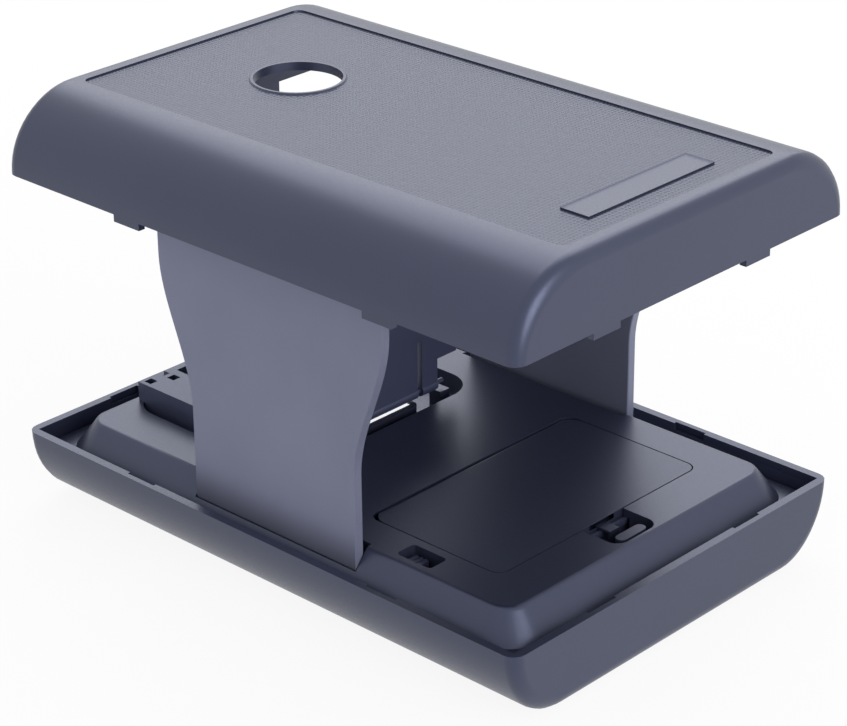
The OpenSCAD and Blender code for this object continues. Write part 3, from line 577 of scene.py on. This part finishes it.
class SCANNER_OT_panels(bpy.types.Operator):
    """Finish the two side panels and their pins"""
    bl_idname = "scanner.panels"
    bl_label = "Side panels"

    def execute(self, context):
        finish = finishes()
        # the panels' lighter colour is painted reflection of the floor on the shell's dark plastic
        abs_panel = spark_textured_abs("matte_abs_panel", finish.panel, finish.grain,
                                       ROUGHNESS["panel"], satin())
        steel = drawn_steel("drawn_steel_pin", finish.steel)
        for side in ("near", "far"):
            finished_copy(side + "_panel", side + "_panel", abs_panel, finish.shell_edge)
            dress(side + "_panel_pin", steel)
        return {"FINISHED"}


class SCANNER_OT_film_stage(bpy.types.Operator):
    """Finish the film guide, the flap and the light under the film"""
    bl_idname = "scanner.film_stage"
    bl_label = "Film stage"

    def execute(self, context):
        finish = finishes()
        abs_guide = spark_textured_abs("satin_abs_guide", finish.guide, finish.grain,
                                       ROUGHNESS["guide"], satin())
        finished_copy("film_guide", "base", abs_guide, finish.small_edge)
        finished_copy("film_flap", "film_flap", abs_guide, finish.small_edge)
        finished_copy("light_diffuser", "base", opal_acrylic_painted_glow("opal_acrylic_painted_glow", finish.diffuser),
                      finish.small_edge)
        board = spark_textured_abs("white_reflector_abs", finish.board, finish.grain,
                                   ROUGHNESS["board"])
        dress("light_reflector", board)
        dress("led_board", board)
        dress("flap_pin", abs_guide)
        return {"FINISHED"}


class SCANNER_OT_battery(bpy.types.Operator):
    """Finish the battery door, the compartment and the cells"""
    bl_idname = "scanner.battery"
    bl_label = "Battery compartment"

    def execute(self, context):
        finish = finishes()
        abs_door = spark_textured_abs("matte_abs_door", finish.shell, finish.grain,
                                      ROUGHNESS["door"], satin())
        abs_well = spark_textured_abs("satin_abs_well", finish.guide, finish.grain,
                                      ROUGHNESS["well"], satin())
        finished_copy("battery_door", "battery_door", abs_door, finish.small_edge,
                      rework=rounded_latch)
        dress("battery_well", abs_well)
        button_mm = 1.0
        cell_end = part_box("battery_cells")[1][1] / MM - button_mm
        sleeve = wrapped_cell("plain_cell_sleeve", finish.sleeve, finish.steel, cell_end)
        finished_copy("battery_cells", "base", sleeve, finish.small_edge)
        return {"FINISHED"}


def spring_tree(material):
    """A node tree that stands a coil spring, turned outwards, on each point of a mesh."""
    tree = bpy.data.node_groups.new("coil_springs", "GeometryNodeTree")
    tree.interface.new_socket("Geometry", in_out="INPUT", socket_type="NodeSocketGeometry")
    for name in ("Wide Radius", "Narrow Radius", "Height", "Wire Radius"):
        tree.interface.new_socket(name, in_out="INPUT", socket_type="NodeSocketFloat")
    tree.interface.new_socket("Turns", in_out="INPUT", socket_type="NodeSocketFloat")
    tree.interface.new_socket("Geometry", in_out="OUTPUT", socket_type="NodeSocketGeometry")
    given = add_node(tree, "NodeGroupInput").outputs
    coil = add_node(
        tree, "GeometryNodeCurveSpiral",
        links={"Rotations": given["Turns"], "Start Radius": given["Wide Radius"],
               "End Radius": given["Narrow Radius"], "Height": given["Height"]},
        inputs={"Resolution": 24},
    )
    wire = add_node(
        tree, "GeometryNodeCurvePrimitiveCircle", links={"Radius": given["Wire Radius"]},
        inputs={"Resolution": 8},
    )
    tube = add_node(
        tree, "GeometryNodeCurveToMesh",
        links={"Curve": coil.outputs["Curve"], "Profile Curve": wire.outputs["Curve"]},
        inputs={"Fill Caps": True},
    )
    facing = add_node(
        tree, "GeometryNodeInputNamedAttribute", data_type="FLOAT_VECTOR",
        inputs={"Name": "facing"},
    )
    turn = add_node(
        tree, "FunctionNodeAlignRotationToVector", links={"Vector": facing.outputs["Attribute"]},
        axis="Z",
    )
    stood = add_node(
        tree, "GeometryNodeInstanceOnPoints",
        links={"Points": given["Geometry"], "Instance": tube.outputs["Mesh"],
               "Rotation": turn.outputs["Rotation"]},
    )
    real = add_node(
        tree, "GeometryNodeRealizeInstances", links={"Geometry": stood.outputs["Instances"]},
    )
    coated = add_node(
        tree, "GeometryNodeSetMaterial", links={"Geometry": real.outputs["Geometry"]},
        inputs={"Material": material},
    )
    add_node(tree, "NodeGroupOutput", links={"Geometry": coated.outputs["Geometry"]})
    return tree


def baked(piece, name):
    """The evaluated piece as a plain mesh object, without its modifiers."""
    graph = bpy.context.evaluated_depsgraph_get()
    mesh = bpy.data.meshes.new_from_object(piece.evaluated_get(graph))
    result = bpy.data.objects.new(name, mesh)
    bpy.context.collection.objects.link(result)
    bpy.data.objects.remove(piece)
    return result


class SCANNER_OT_contacts(bpy.types.Operator):
    """Put a bent leaf at each cell's button, and a plate with a coil spring at its flat end"""
    bl_idname = "scanner.contacts"
    bl_label = "Battery contacts"

    def execute(self, context):
        springs = context.scene.scanner_springs
        steel = drawn_steel("spring_steel", finishes().steel)
        low, high = (Vector(corner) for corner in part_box("battery_contacts"))
        cells_low, cells_high = (Vector(corner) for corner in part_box("battery_cells"))
        middle_z = (cells_low.z + cells_high.z) / 2
        plate_t, plate, plate_edge, button = 0.5 * MM, 8 * MM, 0.1 * MM, 1.0 * MM
        flat_end = cells_high.y - button
        centres = (low.x + plate / 2, high.x - plate / 2)
        middle_x = sum(centres) / 2
        wall = high.y - plate_t
        seats = ((centres[0], -wall, 1), (centres[1], wall, -1))
        shape = bmesh.new()
        shape.from_mesh(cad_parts["battery_contacts"].data)
        bmesh.ops.remove_doubles(shape, verts=shape.verts, dist=MERGE_DISTANCE)
        at_springs = [v for v in shape.verts if (v.co.x < middle_x) == (v.co.y < 0)]
        bmesh.ops.delete(shape, geom=at_springs, context="VERTS")
        for x, y, way in seats:
            made = bmesh.ops.create_cube(
                shape, size=1,
                matrix=Matrix.Translation((x, y - way * plate_t / 2, middle_z))
                @ Matrix.Diagonal((plate, plate_t, plate, 1)),
            )
            edges = {edge for vert in made["verts"] for edge in vert.link_edges}
            bmesh.ops.bevel(
                shape, geom=list(edges), offset=plate_edge, segments=2, affect="EDGES",
                clamp_overlap=True,
            )
        mesh = bpy.data.meshes.new("contact_plates")
        shape.to_mesh(mesh)
        shape.free()
        mesh.materials.append(steel)
        plates = bpy.data.objects.new("contact_plates", mesh)
        context.collection.objects.link(plates)
        points = bpy.data.meshes.new("spring_seats")
        points.from_pydata([(x, y, middle_z) for x, y, way in seats], [], [])
        carrier = bpy.data.objects.new("spring_seats", points)
        context.collection.objects.link(carrier)
        facing = points.attributes.new("facing", "FLOAT_VECTOR", "POINT")
        for point, (x, y, way) in zip(facing.data, seats):
            point.vector = (0, way, 0)
        tree = spring_tree(steel)
        modifier = carrier.modifiers.new("coils", "NODES")
        modifier.node_group = tree
        sizes = {
            "Wide Radius": springs.wide_end * MM,
            "Narrow Radius": springs.narrow_end * MM,
            "Height": wall - flat_end - springs.wire * MM / 2,
            "Wire Radius": springs.wire * MM / 2,
            "Turns": float(springs.turns),
        }
        for item in tree.interface.items_tree:
            if item.name in sizes:
                modifier[item.identifier] = sizes[item.name]
        coils = baked(carrier, "contact_springs")
        for polygon in coils.data.polygons:
            polygon.use_smooth = True
        for piece in (plates, coils):
            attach(piece, "base")
        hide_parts("battery_contacts")
        return {"FINISHED"}


class SCANNER_OT_switch(bpy.types.Operator):
    """Finish the light switch"""
    bl_idname = "scanner.switch"
    bl_label = "Light switch"

    def execute(self, context):
        finish = finishes()
        knob = spark_textured_abs("grey_abs_knob", finish.knob, finish.grain,
                                  ROUGHNESS["knob"], satin())
        finished_copy("switch_knob", "switch_knob", knob, finish.small_edge, rework=low_ridges)
        dress("switch_body", drawn_steel("pressed_steel_switch", finish.steel))
        return {"FINISHED"}


class SCANNER_OT_fasteners(bpy.types.Operator):
    """Finish the screws and the rubber feet"""
    bl_idname = "scanner.fasteners"
    bl_label = "Fasteners and feet"

    def execute(self, context):
        finish = finishes()
        steel = drawn_steel("zinc_plated_screw", finish.steel)
        dress("housing_screws", steel)
        dress("board_screws", steel)
        finished_copy("rubber_feet", "base", moulded_rubber("moulded_rubber", finish.rubber),
                      finish.small_edge)
        return {"FINISHED"}


# ---------- stage ----------

def background_seen(tree):
    """1 for rays that show the background: those of the camera, of gloss and through glass."""
    rays = add_node(tree, "ShaderNodeLightPath")
    direct = add_node(
        tree, "ShaderNodeMath", operation="MAXIMUM",
        links={0: rays.outputs["Is Camera Ray"], 1: rays.outputs["Is Glossy Ray"]},
    )
    every = add_node(
        tree, "ShaderNodeMath", operation="MAXIMUM",
        links={0: direct.outputs["Value"], 1: rays.outputs["Is Transmission Ray"]},
    )
    return every.outputs["Value"]


def floor_material(colour):
    """A pale seamless floor: white where background_seen, with the object's soft shadow kept."""
    white_share = 0.9
    material = bpy.data.materials.new("seamless_paper")
    material.use_nodes = True
    tree = material.node_tree
    tree.nodes.clear()
    paper = add_node(tree, "ShaderNodeBsdfDiffuse", inputs={"Color": colour})
    glow = add_node(
        tree, "ShaderNodeEmission", inputs={"Color": (1, 1, 1, 1), "Strength": 1.0},
    )
    share = add_node(
        tree, "ShaderNodeMath", operation="MULTIPLY", links={0: background_seen(tree)},
        inputs={1: white_share},
    )
    blend = add_node(
        tree, "ShaderNodeMixShader",
        links={0: share.outputs["Value"], 1: paper.outputs["BSDF"], 2: glow.outputs["Emission"]},
    )
    add_node(tree, "ShaderNodeOutputMaterial", links={"Surface": blend.outputs["Shader"]})
    return material


def soft_light(name, place, size, power):
    """A square area light that faces the object."""
    middle = Vector((0, 0, 0.05))
    data = bpy.data.lights.new(name, "AREA")
    data.shape = "SQUARE"
    data.size = size
    data.energy = power
    lamp = bpy.data.objects.new(name, data)
    lamp.location = place
    aim = middle - Vector(place)
    lamp.rotation_euler = aim.to_track_quat("-Z", "Y").to_euler()
    bpy.context.collection.objects.link(lamp)


class SCANNER_OT_stage(bpy.types.Operator):
    """Set the camera, the floor and the lights"""
    bl_idname = "scanner.stage"
    bl_label = "Stage"

    def execute(self, context):
        stage = context.scene.scanner_stage
        data = bpy.data.cameras.new("product_camera")
        data.lens = stage.lens
        data.sensor_width = 36
        data.clip_start = 0.01
        camera = bpy.data.objects.new("product_camera", data)
        place = Vector(stage.camera_place)
        view = (Vector(stage.camera_target) - place).to_track_quat("-Z", "Y").to_matrix()
        roll = Matrix.Rotation(stage.camera_roll, 3, "Z")
        camera.matrix_world = Matrix.Translation(place) @ (view @ roll).to_4x4()
        context.collection.objects.link(camera)
        context.scene.camera = camera

        mesh = bpy.data.meshes.new("seamless_floor")
        half = 4.0
        mesh.from_pydata(
            [(-half, -half, 0), (half, -half, 0), (half, half, 0), (-half, half, 0)],
            [], [(0, 1, 2, 3)],
        )
        mesh.materials.append(floor_material(tuple(stage.floor_colour)))
        floor = bpy.data.objects.new("seamless_floor", mesh)
        context.collection.objects.link(floor)

        world = bpy.data.worlds.new("white_surround")
        world.use_nodes = True
        tree = world.node_tree
        tree.nodes.clear()
        strength = add_node(
            tree, "ShaderNodeMapRange", links={"Value": background_seen(tree)},
            inputs={"To Min": stage.sky_strength, "To Max": 1.0},
        )
        sky = add_node(
            tree, "ShaderNodeBackground", links={"Strength": strength.outputs["Result"]},
            inputs={"Color": (1, 1, 1, 1)},
        )
        add_node(tree, "ShaderNodeOutputWorld", links={"Surface": sky.outputs["Background"]})
        context.scene.world = world
        context.scene.view_settings.view_transform = "Standard"

        behind_above, right = (-0.42, 0.5, 0.72), (0.9, -0.1, 0.35)
        soft_light("top_softbox", behind_above, size=0.9, power=stage.top_power)
        soft_light("side_softbox", right, size=0.6, power=stage.side_power)
        return {"FINISHED"}


class SCANNER_PT_panel(bpy.types.Panel):
    """The scanner's pieces, finishes and stage"""
    bl_idname = "SCANNER_PT_panel"
    bl_label = "Film Scanner"
    bl_space_type = "VIEW_3D"
    bl_region_type = "UI"
    bl_category = "Scanner"

    def draw(self, context):
        layout = self.layout
        for group in ("scanner_finishes", "scanner_springs", "scanner_stage"):
            box = layout.box()
            settings = getattr(context.scene, group)
            for name in settings.bl_rna.properties.keys():
                if name not in ("rna_type", "name"):
                    box.prop(settings, name)
        for operator in OPERATORS:
            layout.operator(operator.bl_idname)


GROUPS = {
    "scanner_finishes": ScannerFinishes,
    "scanner_springs": ScannerSprings,
    "scanner_stage": ScannerStage,
}
OPERATORS = (
    SCANNER_OT_shells,
    SCANNER_OT_panels,
    SCANNER_OT_film_stage,
    SCANNER_OT_battery,
    SCANNER_OT_contacts,
    SCANNER_OT_switch,
    SCANNER_OT_fasteners,
    SCANNER_OT_stage,
)


def register():
    for group in GROUPS.values():
        bpy.utils.register_class(group)
    for name, group in GROUPS.items():
        setattr(bpy.types.Scene, name, PointerProperty(type=group))
    for operator in OPERATORS:
        bpy.utils.register_class(operator)
    bpy.utils.register_class(SCANNER_PT_panel)


def unregister():
    bpy.utils.unregister_class(SCANNER_PT_panel)
    for operator in reversed(OPERATORS):
        bpy.utils.unregister_class(operator)
    for name, group in GROUPS.items():
        delattr(bpy.types.Scene, name)
        bpy.utils.unregister_class(group)


def main():
    register()
    bpy.ops.scanner.shells()
    bpy.ops.scanner.panels()
    bpy.ops.scanner.film_stage()
    bpy.ops.scanner.battery()
    bpy.ops.scanner.contacts()
    bpy.ops.scanner.switch()
    bpy.ops.scanner.fasteners()
    bpy.ops.scanner.stage()


if __name__ == "__main__":
    main()
